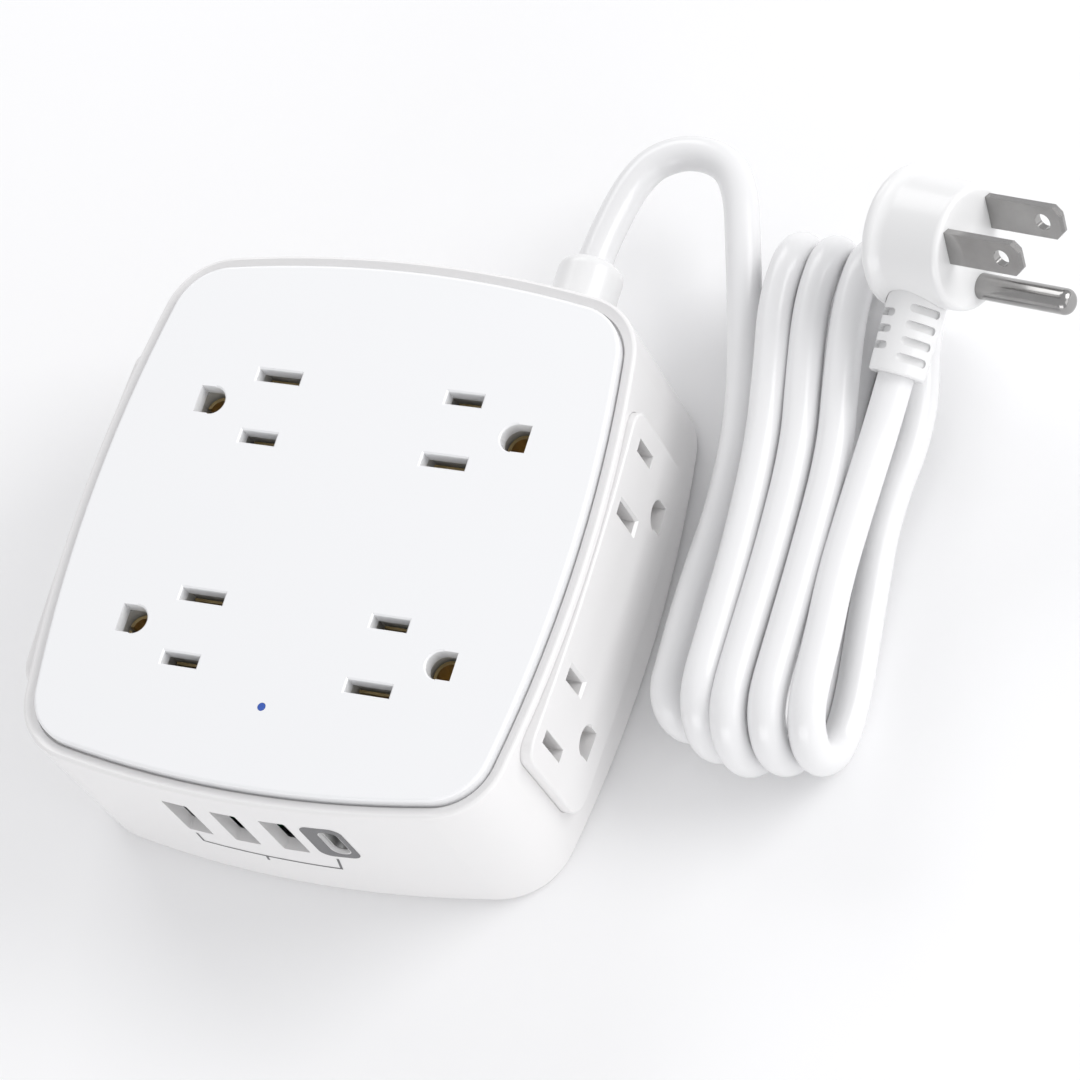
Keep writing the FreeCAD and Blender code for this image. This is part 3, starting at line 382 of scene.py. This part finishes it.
class Finish(Enum):
    """Every finish on the object."""

    HOUSING = MouldedPlastic("satin_white_housing", (0.80, 0.792, 0.79), 0.30, coat=0.25)
    PLATE = MouldedPlastic("bright_white_plate", (0.87, 0.875, 0.885), 0.30, 0.16, 0.0012, coat=0.25)
    CORD = MouldedPlastic("white_cord_jacket", (0.80, 0.80, 0.805), 0.30, 0.5, 0.003, coat=0.35)
    PLUG = MouldedPlastic("white_moulded_plug", (0.80, 0.80, 0.80), 0.32, 0.3, 0.003, coat=0.3)
    CARRIER = MouldedPlastic("matt_contact_carrier", (0.62, 0.62, 0.60), 0.55)
    TONGUE = MouldedPlastic("pale_socket_tongue", (0.70, 0.70, 0.70), 0.35)
    CERAMIC = MouldedPlastic("blue_coated_disc", (0.02, 0.09, 0.36), 0.25, 0.8, 0.02, tint=(0.01, 0.05, 0.2))
    SLEEVE = MouldedPlastic("black_shrink_sleeve", (0.02, 0.02, 0.03), 0.2, tint=(0.05, 0.05, 0.06))
    FILM_BOX = MouldedPlastic("yellow_film_box", (0.65, 0.45, 0.05), 0.3, tint=(0.5, 0.3, 0.03))
    FERRITE = MouldedPlastic("dark_ferrite", (0.05, 0.05, 0.05), 0.6, 0.4, 0.02, tint=(0.09, 0.09, 0.09))
    CORE_BLACK = MouldedPlastic("black_core", (0.02, 0.02, 0.02), 0.35, tint=(0.05, 0.05, 0.05))
    CORE_GREEN = MouldedPlastic("green_core", (0.01, 0.22, 0.05), 0.35, tint=(0.01, 0.15, 0.04))
    CORE_WHITE = MouldedPlastic("white_core", (0.75, 0.75, 0.75), 0.35)
    BRASS = RolledMetal("contact_brass", (0.80, 0.66, 0.18), (0.25, 0.22, 0.06), 0.22, 0.7)
    NICKEL = RolledMetal("nickelled_prong", (0.40, 0.395, 0.39), (0.24, 0.235, 0.23), 0.16, 0.6)
    STEEL = RolledMetal("zinc_plated_steel", (0.62, 0.62, 0.63), (0.45, 0.44, 0.42), 0.30, 0.4)
    SOCKET = RolledMetal("tinned_socket_shell", (0.74, 0.74, 0.74), (0.58, 0.58, 0.57), 0.32, 0.3)
    BOARD = PrintedBoard("green_circuit_board")
    LIGHT = ClearGlow("blue_status_light", (0.03, 0.08, 0.34), 0.12)
    INK = PrintInk("dark_grey_ink", (0.10, 0.10, 0.105), (0.16, 0.16, 0.165))
    INK_PATCH = PrintInk("mid_grey_ink", (0.13, 0.13, 0.135), (0.17, 0.17, 0.175))

    def material(self) -> bpy.types.Material:
        """The finish's material, made once."""
        return bpy.data.materials.get(self.value.name) or self.value.build()


def dress(piece: bpy.types.Object, finish: Finish) -> None:
    """Give a piece one finish all over."""
    piece.data.materials.clear()
    piece.data.materials.append(finish.material())


def dress_nodes(frame: dict[str, Any], finish: Finish, names: Sequence[str]) -> None:
    """Give CAD nodes one finish.

    Args:
        finish: the finish.
        names: node names, or a name that ends in * for all that start so or start in * for all that end so.
    """
    for name in names:
        stem = name.strip("*")
        for node_name, piece in frame["nodes"].items():
            hit = (node_name.startswith(stem) if name.endswith("*") else
                   node_name.endswith(stem) if name.startswith("*") else node_name == name)
            if hit:
                dress(piece, finish)
                LOG.info("%s wears %s", node_name, finish.value.name)


# ---------------------------------------------------------------- view, light and floor
@dataclass
class Viewpoint:
    """The camera: where it stands and how it is turned.

    Attributes:
        location: place of the lens.
        right: direction of the picture's right side.
        up: direction of the picture's top.
        back: direction away from what it looks at.
        lens_mm: focal length on a 36 mm sensor.
    """

    location: Triple = (364.74, -273.71, 686.08)
    right: Triple = (0.90046832, 0.28663029, -0.32710837)
    up: Triple = (-0.12275688, 0.88902842, 0.44108866)
    back: Triple = (0.41723801, -0.35703156, 0.83572777)
    lens_mm: float = 146.82

    def build(self) -> bpy.types.Object:
        """Make the camera and select it for the scene.

        Returns:
            The camera object.
        """
        data = bpy.data.cameras.new("viewpoint")
        data.lens, data.sensor_width = self.lens_mm, 36.0
        data.clip_start, data.clip_end = 0.01, 20.0
        camera = bpy.data.objects.new("viewpoint", data)
        bpy.context.scene.collection.objects.link(camera)
        turn = Matrix((self.right, self.up, self.back)).transposed().to_4x4()
        camera.matrix_world = Matrix.Translation(Vector(self.location) * MM) @ turn
        bpy.context.scene.camera = camera
        return camera


@dataclass
class SoftBox:
    """A rectangular studio light.

    Attributes:
        name: light name.
        location: centre.
        target: point it faces.
        width: width of the panel.
        height: height of the panel.
        power: radiant power in watts.
        colour: light colour.
    """

    name: str
    location: Triple
    target: Triple
    width: float
    height: float
    power: float
    colour: Triple = (1.0, 1.0, 1.0)

    def build(self) -> bpy.types.Object:
        """Make the light."""
        data = bpy.data.lights.new(self.name, "AREA")
        data.shape, data.size, data.size_y = "RECTANGLE", self.width * MM, self.height * MM
        data.energy, data.color = self.power, self.colour
        light = bpy.data.objects.new(self.name, data)
        bpy.context.scene.collection.objects.link(light)
        light.location = Vector(self.location) * MM
        aim = Vector(self.target) - Vector(self.location)
        light.rotation_euler = aim.to_track_quat("-Z", "Y").to_euler()
        return light


@dataclass
class Studio:
    """Pale floor, white surroundings and soft boxes.

    Attributes:
        floor_half: half the floor's side.
        floor_colour: floor colour.
        surround: brightness of the surroundings.
        boxes: the lights.
    """

    floor_half: float = 3000.0
    floor_colour: Triple = (0.93, 0.93, 0.935)
    surround: float = 0.68
    boxes: list[SoftBox] = field(default_factory=lambda: [
        SoftBox("far_right", (900, 500, 600), (60, 20, 15), 700, 700, 6.3),
        SoftBox("near_low", (100, -1000, 300), (0, 0, 20), 900, 400, 2.6),
        SoftBox("right_side", (1000, -150, 350), (60, 0, 15), 600, 500, 1.0),
        SoftBox("far_left", (-600, 900, 700), (20, 0, 20), 800, 600, 3.6),
    ])

    def build_floor(self) -> bpy.types.Object:
        """Make the floor."""
        h = self.floor_half * MM
        mesh = bpy.data.meshes.new("floor")
        mesh.from_pydata([(-h, -h, 0), (h, -h, 0), (h, h, 0), (-h, h, 0)], [], [(0, 1, 2, 3)])
        floor = bpy.data.objects.new("floor", mesh)
        bpy.context.scene.collection.objects.link(floor)
        graph = Graph("pale_floor")
        colour = graph.mix(graph.noise(60.0) * 0.2, self.floor_colour, (0.91, 0.91, 0.915))
        mesh.materials.append(graph.finish({"Roughness": 0.7}, Base_Color=colour))
        return floor

    def build(self) -> None:
        """Make the floor, the surroundings and the lights."""
        self.build_floor()
        world = bpy.data.worlds.new("white_surround")
        world.use_nodes = True
        sky = world.node_tree.nodes["Background"]
        sky.inputs["Color"].default_value = (0.985, 0.985, 1.0, 1.0)
        sky.inputs["Strength"].default_value = self.surround
        bpy.context.scene.world = world
        for box in self.boxes:
            box.build()
        bpy.context.scene.view_settings.view_transform = "Standard"


# ---------------------------------------------------------------- mesh helpers
def mesh_piece(name: str, vertices: Sequence[Sequence[float]], faces: Sequence[Sequence[int]],
               finish: Finish) -> bpy.types.Object:
    """A mesh object from millimetre vertices, riding on the body.

    Args:
        name: object name.
        vertices: corner points.
        faces: faces as vertex numbers.
        finish: its finish.

    Returns:
        The object.
    """
    mesh = bpy.data.meshes.new(name)
    mesh.from_pydata([tuple(c * MM for c in v) for v in vertices], [], [tuple(f) for f in faces])
    mesh.update()
    piece = bpy.data.objects.new(name, mesh)
    bpy.context.scene.collection.objects.link(piece)
    dress(piece, finish)
    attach(piece, "root")
    return piece


# ---------------------------------------------------------------- cord
@dataclass
class WoundCord:
    """The cord from the collar, through the hank, to the plug's strain relief.

    Attributes:
        diameter: across the jacket.
        real_length: along the centreline.
        lead: route from the collar to the hank's first strand.
        tail: route from the hank's last strand to the strain relief.
        low: height of a strand's centre on the floor.
        high: height of a strand's centre on top.
        top_centre: y of the far folds' centre.
        last_top_centre: y of the last far fold's centre.
        near_centres: y of each near fold's centre.
        up_runs: the strands on the floor, as x and y, each towards +Y.
        down_runs: the strands on top, as x and y, each towards -Y.
        last_down: the last strand back, which sinks to the floor.
        first_down: where the lead starts its first fold.
        into_tail: x and y of the two points after the last fold.
        fold_points: control points in each half turn.
    """

    diameter: float = 6.7
    real_length: float = 1095.0
    lead: tuple[Triple, ...] = (
        (25.4, 67.2, 20.0), (25.4, 72.5, 20.0), (28.2, 87.9, 19.9), (34.6, 93.3, 19.6), (42.8, 93.3, 19.2),
        (48.4, 88.5, 18.8), (52.6, 75.4, 18.0), (57.0, 60.5, 16.9), (61.4, 44.0, 16.0), (63.1, 26.0, 15.3),
        (62.3, 10.0, 15.0), (62.3, 1.0, 15.0))
    tail: tuple[Triple, ...] = (
        (90.6, 10.0, 22.45), (90.6, 20.5, 22.45), (90.9, 31.5, 22.7))
    low: float = 3.45
    high: float = 22.5
    top_centre: float = 68.1
    last_top_centre: float = 70.0
    near_centres: tuple[float, ...] = (-9.9, -10.2, -11.9, -10.7, -9.6)
    up_runs: tuple[tuple[Pair, ...], ...] = (
        ((67.2, -5.0), (66.0, 14.0), (63.8, 35.0), (63.0, 56.0)),
        ((73.6, -5.0), (73.0, 14.0), (71.0, 35.0), (69.6, 56.0)),
        ((80.0, -5.0), (79.6, 14.0), (77.6, 35.0), (76.2, 56.0)),
        ((86.4, -5.0), (85.0, 14.0), (83.4, 35.0), (83.2, 56.0)))
    down_runs: tuple[tuple[Pair, ...], ...] = (
        ((64.3, 62.0), (67.0, 50.0), (70.0, 34.0), (71.4, 14.0), (71.6, -4.0)),
        ((71.2, 62.0), (73.8, 48.0), (76.8, 34.0), (77.7, 14.0), (77.6, -4.0)),
        ((78.6, 62.0), (81.0, 48.0), (83.8, 34.0), (84.4, 14.0), (84.5, -4.0)))
    last_down: tuple[Triple, ...] = (
        (89.2, 64.0, 11.6), (92.9, 48.0, 10.2), (90.2, 30.0, 8.2), (91.0, 12.0, 4.6), (92.6, -4.0, 3.45))
    first_down: Triple = (62.6, -8.0, 15.0)
    into_tail: tuple[Pair, Pair] = ((91.9, -3.0), (91.5, -1.0))
    fold_points: int = 6

    def fold(self, start: Triple, end: Triple, centre_y: float, towards: int) -> list[Triple]:
        """Control points of a half turn that carries the cord between two heights.

        Args:
            start: last point before the fold.
            end: first point after it.
            centre_y: y of the fold's centre.
            towards: 1 when the fold bulges to +Y, -1 when it bulges to -Y.

        Returns:
            The points, without start and end.
        """
        radius = abs(end[2] - start[2]) / 2
        centre_z = (start[2] + end[2]) / 2
        rising = 1 if end[2] > start[2] else -1
        step = math.pi / self.fold_points
        reach = radius / math.cos(step / 2)
        points = []
        for index in range(self.fold_points):
            angle = -math.pi / 2 + step * (index + 0.5)
            share = 0.5 + 0.5 * math.sin(angle)
            points.append((start[0] + (end[0] - start[0]) * share,
                           centre_y + towards * reach * math.cos(angle),
                           centre_z + rising * reach * math.sin(angle)))
        return points

    def winding(self) -> list[Triple]:
        """Control points of the hank, from the lead's last point to the tail's first.

        Returns:
            The points, at least twelve for each turn.
        """
        points: list[Triple] = [self.first_down]
        ups = [[(x, y, self.low) for x, y in run] for run in self.up_runs]
        downs = [[(x, y, self.high) for x, y in run] for run in self.down_runs]
        downs.append(list(self.last_down))
        before = self.first_down
        for turn, (up, down) in enumerate(zip(ups, downs)):
            points += self.fold(before, up[0], self.near_centres[turn], -1) + up
            far = self.top_centre if turn < len(ups) - 1 else self.last_top_centre
            points += self.fold(up[-1], down[0], far, 1) + down
            before = down[-1]
        fold_end, straight = self.into_tail
        points += self.fold(before, (*fold_end, self.high), self.near_centres[-1], -1)
        points.append((*straight, self.tail[0][2]))
        return points

    def relief_points(self, plug: "FlatPlug") -> list[Triple]:
        """The last points, in line with the plug's strain relief."""
        return [plug.point(0.0, plug.relief_tip + 8.3, 0.0), plug.point(0.0, plug.relief_tip - 1.0, 0.0)]

    def build(self, plug: "FlatPlug", pieces: Sequence[bpy.types.Object]) -> bpy.types.Object:
        """Args:
            plug: the plug it ends in.
            pieces: the pieces that sit on it; not used.

        Returns:
            The cord.
        """
        points = [*self.lead, *self.winding(), *self.tail, *self.relief_points(plug)]
        curve = bpy.data.curves.new("wound_cord", "CURVE")
        curve.dimensions = "3D"
        curve.bevel_depth, curve.bevel_resolution = self.diameter / 2 * MM, 6
        curve.resolution_u, curve.use_fill_caps = 10, True
        curve.twist_mode = "MINIMUM"
        spline = curve.splines.new("NURBS")
        spline.points.add(len(points) - 1)
        for place, point in zip(spline.points, points):
            place.co = (*(c * MM for c in point), 1.0)
        spline.order_u = 3
        spline.use_endpoint_u = True
        cord = bpy.data.objects.new("wound_cord", curve)
        bpy.context.scene.collection.objects.link(cord)
        dress(cord, Finish.CORD)
        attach(cord, "root")
        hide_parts("cord_lead", "cord_hank", "cord_tail")
        LOG.info("cord of %d points", len(points))
        return cord


# ---------------------------------------------------------------- plug
@dataclass
class FlatPlug:
    """The plug that ends the cord: its frame and its finishes.

    Attributes:
        origin: point on the plug's axis.
        along: direction of the prongs.
        out: direction the cord leaves in.
        relief_tip: distance from the axis to the strain relief's tip.
    """

    origin: Triple = (95.3, 72.4, 33.7)
    along: Triple = (0.959, -0.186, 0.214)
    out: Triple = (-0.115, -0.945, -0.305)
    relief_tip: float = 25.0

    def axes(self) -> tuple[Vector, Vector, Vector]:
        """Unit vectors along the prongs, along the cord and across both."""
        first = Vector(self.along).normalized()
        second = Vector(self.out)
        second = (second - first * second.dot(first)).normalized()
        return first, second, first.cross(second)

    def point(self, x: float, y: float, z: float) -> Triple:
        """A point of the plug's own frame in the row's frame."""
        first, second, third = self.axes()
        return tuple(Vector(self.origin) + first * x + second * y + third * z)

    def build(self, frame: dict[str, Any]) -> list[bpy.types.Object]:
        """Dress the plug's CAD pieces.


        Returns:
            The pieces on the cord.
        """
        dress_nodes(frame, Finish.PLUG, ["plug_body", "plug_strain_relief"])
        dress_nodes(frame, Finish.CARRIER, ["plug_insert"])
        dress_nodes(frame, Finish.NICKEL, ["plug_neutral_blade", "plug_hot_blade", "plug_ground_pin"])
        dress_nodes(frame, Finish.CORD, ["cord_in_plug"])
        names = ["plug_body", "plug_strain_relief", "plug_insert", "plug_neutral_blade", "plug_hot_blade",
                 "plug_ground_pin", "cord_in_plug"]
        return [frame["nodes"][name] for name in names]


# ---------------------------------------------------------------- printed marks
@dataclass
class PrintedMarks:
    """The printed bracket under the USB sockets and the patch round the small socket.

    Attributes:
        half_length: half the body's length.
        bow_radius: radius of the front wall's bow.
        lift: how far the ink stands off the wall.
        line_width: width of the bracket's line.
        bracket: the bracket's corners, as x and z.
        tick: the bracket's tick.
        patch_centre: centre of the patch.
        patch_size: width and height of the patch.
        patch_corner: corner radius of the patch.
        hole_size: width and height of the hole in the patch.
        hole_x: x of the hole's centre.
    """

    half_length: float = 54.8
    bow_radius: float = 225.0
    lift: float = 0.03
    line_width: float = 0.5
    bracket: tuple[Pair, ...] = ((-17.0, 17.3), (-17.2, 13.5), (10.8, 12.3), (12.0, 17.3))
    tick: tuple[Pair, ...] = ((-4.2, 13.0), (-4.6, 10.9))
    patch_centre: Pair = (13.65, 25.1)
    patch_size: Pair = (8.1, 13.2)
    patch_corner: float = 2.2
    hole_size: Pair = (3.9, 9.9)
    hole_x: float = 14.55

    def on_wall(self, x: float, z: float) -> Triple:
        """A point on the front wall, lifted by the ink's thickness."""
        return (x, -(self.half_length - x * x / (2 * self.bow_radius)) - self.lift, z)

    def stroke(self, name: str, route: Sequence[Pair]) -> bpy.types.Object:
        """A flat line along a route on the wall.

        Args:
            name: object name.
            route: its corners, as x and z.

        Returns:
            The line.
        """
        fine: list[Pair] = []
        for (x0, z0), (x1, z1) in zip(route, route[1:]):
            steps = max(1, int(math.hypot(x1 - x0, z1 - z0) / 1.0))
            fine += [(x0 + (x1 - x0) * i / steps, z0 + (z1 - z0) * i / steps) for i in range(steps)]
        fine.append(route[-1])
        vertices, faces = [], []
        for index, (x, z) in enumerate(fine):
            x0, z0 = fine[max(0, index - 1)]
            x1, z1 = fine[min(len(fine) - 1, index + 1)]
            length = math.hypot(x1 - x0, z1 - z0)
            nx, nz = -(z1 - z0) / length, (x1 - x0) / length
            cosine = 1.0
            if 0 < index < len(fine) - 1:
                ax, az = x - x0, z - z0
                cosine = max(0.5, abs((-az * nx + ax * nz) / math.hypot(ax, az)))
            half = self.line_width / 2 / cosine
            vertices += [self.on_wall(x + nx * half, z + nz * half), self.on_wall(x - nx * half, z - nz * half)]
            if index:
                a = 2 * index
                faces.append((a - 2, a - 1, a + 1, a))
        return mesh_piece(name, vertices, faces, Finish.INK)

    @staticmethod
    def rounded_outline(cx: float, cz: float, width: float, height: float, radius: float,
                        per_corner: int = 12) -> list[Pair]:
        """Points round a rounded rectangle, starting at its top right corner."""
        points = []
        for sx, sz, start in ((1, 1, 0.0), (-1, 1, 0.5), (-1, -1, 1.0), (1, -1, 1.5)):
            for index in range(per_corner):
                angle = (start + 0.5 * index / (per_corner - 1)) * math.pi
                points.append((cx + sx * (width / 2 - radius) + radius * math.cos(angle),
                               cz + sz * (height / 2 - radius) + radius * math.sin(angle)))
        return points

    def patch(self) -> bpy.types.Object:
        """The printed patch with the socket's hole in it."""
        (cx, cz), (width, height) = self.patch_centre, self.patch_size
        outer = self.rounded_outline(cx, cz, width, height, self.patch_corner)
        inner = self.rounded_outline(self.hole_x, cz, *self.hole_size, self.hole_size[0] / 2 - 0.02)
        count = len(outer)
        vertices = [self.on_wall(x, z) for x, z in [*outer, *inner]]
        faces = [(i, (i + 1) % count, count + (i + 1) % count, count + i) for i in range(count)]
        return mesh_piece("usb_c_patch", vertices, faces, Finish.INK_PATCH)

    def build(self) -> list[bpy.types.Object]:
        """Make every printed mark."""
        return [self.stroke("usb_bracket", self.bracket), self.stroke("usb_bracket_tick", self.tick),
                self.patch()]


# ---------------------------------------------------------------- housing and insides
@dataclass
class PowerCube:
    """The body with its outlets, sockets and insides.

    Attributes:
        marks: the printed marks on the front wall.
    """

    marks: PrintedMarks = field(default_factory=PrintedMarks)

    def dress_outside(self, frame: dict[str, Any]) -> None:
        """Finish the shell, the face plate, the base and the collar."""
        dress_nodes(frame, Finish.HOUSING, ["upper_shell", "base_cover", "left_outlet_panel",
                                            "right_outlet_panel"])
        dress_nodes(frame, Finish.PLATE, ["face_plate"])
        dress_nodes(frame, Finish.PLUG, ["cord_gland"])
        dress_nodes(frame, Finish.STEEL, ["base_screws", "cord_clamp_screws"])
        dress_nodes(frame, Finish.LIGHT, ["light_pipe", "status_led"])

    def dress_contacts(self, frame: dict[str, Any]) -> None:
        """Finish the contact strips, their carriers and the USB sockets."""
        dress_nodes(frame, Finish.CARRIER, ["*contact_carrier", "usb_c_block", "cord_clamp"])
        dress_nodes(frame, Finish.BRASS, ["*_bus"])
        dress_nodes(frame, Finish.SOCKET, ["usb_a_shell_*", "usb_c_shell"])
        dress_nodes(frame, Finish.TONGUE, ["usb_a_tongue_*", "usb_c_tongue"])

    def dress_insides(self, frame: dict[str, Any]) -> None:
        """Finish the boards and what stands on them."""
        dress_nodes(frame, Finish.BOARD, ["surge_board", "usb_board"])
        dress_nodes(frame, Finish.CERAMIC, ["varistor_*"])
        dress_nodes(frame, Finish.SLEEVE, ["electrolytic_capacitor_*"])
        dress_nodes(frame, Finish.FILM_BOX, ["film_capacitor", "thermal_fuse"])
        dress_nodes(frame, Finish.FERRITE, ["charger_transformer"])
        dress_nodes(frame, Finish.CORD, ["cord_inner"])
        dress_nodes(frame, Finish.CORE_BLACK, ["core_hot"])
        dress_nodes(frame, Finish.CORE_GREEN, ["core_ground"])
        dress_nodes(frame, Finish.CORE_WHITE, ["core_neutral"])

    def build(self, frame: dict[str, Any]) -> None:
        """Dress every piece and add the printed marks."""
        self.dress_outside(frame)
        self.dress_contacts(frame)
        self.dress_insides(frame)
        for mark in self.marks.build():
            LOG.info("printed %s", mark.name)


def main() -> None:
    """Build the scene in order."""
    logging.basicConfig(level=logging.INFO, format="%(name)s: %(message)s")
    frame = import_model()
    Viewpoint().build()
    plug = FlatPlug()
    on_cord = plug.build(frame)
    WoundCord().build(plug, [*on_cord, frame["nodes"]["cord_gland"], frame["nodes"]["cord_inner"]])
    PowerCube().build(frame)
    Studio().build()
    for name in ("cord_lead", "cord_hank", "cord_tail"):
        frame["nodes"][name].hide_render = True


if __name__ == "__main__":
    main()
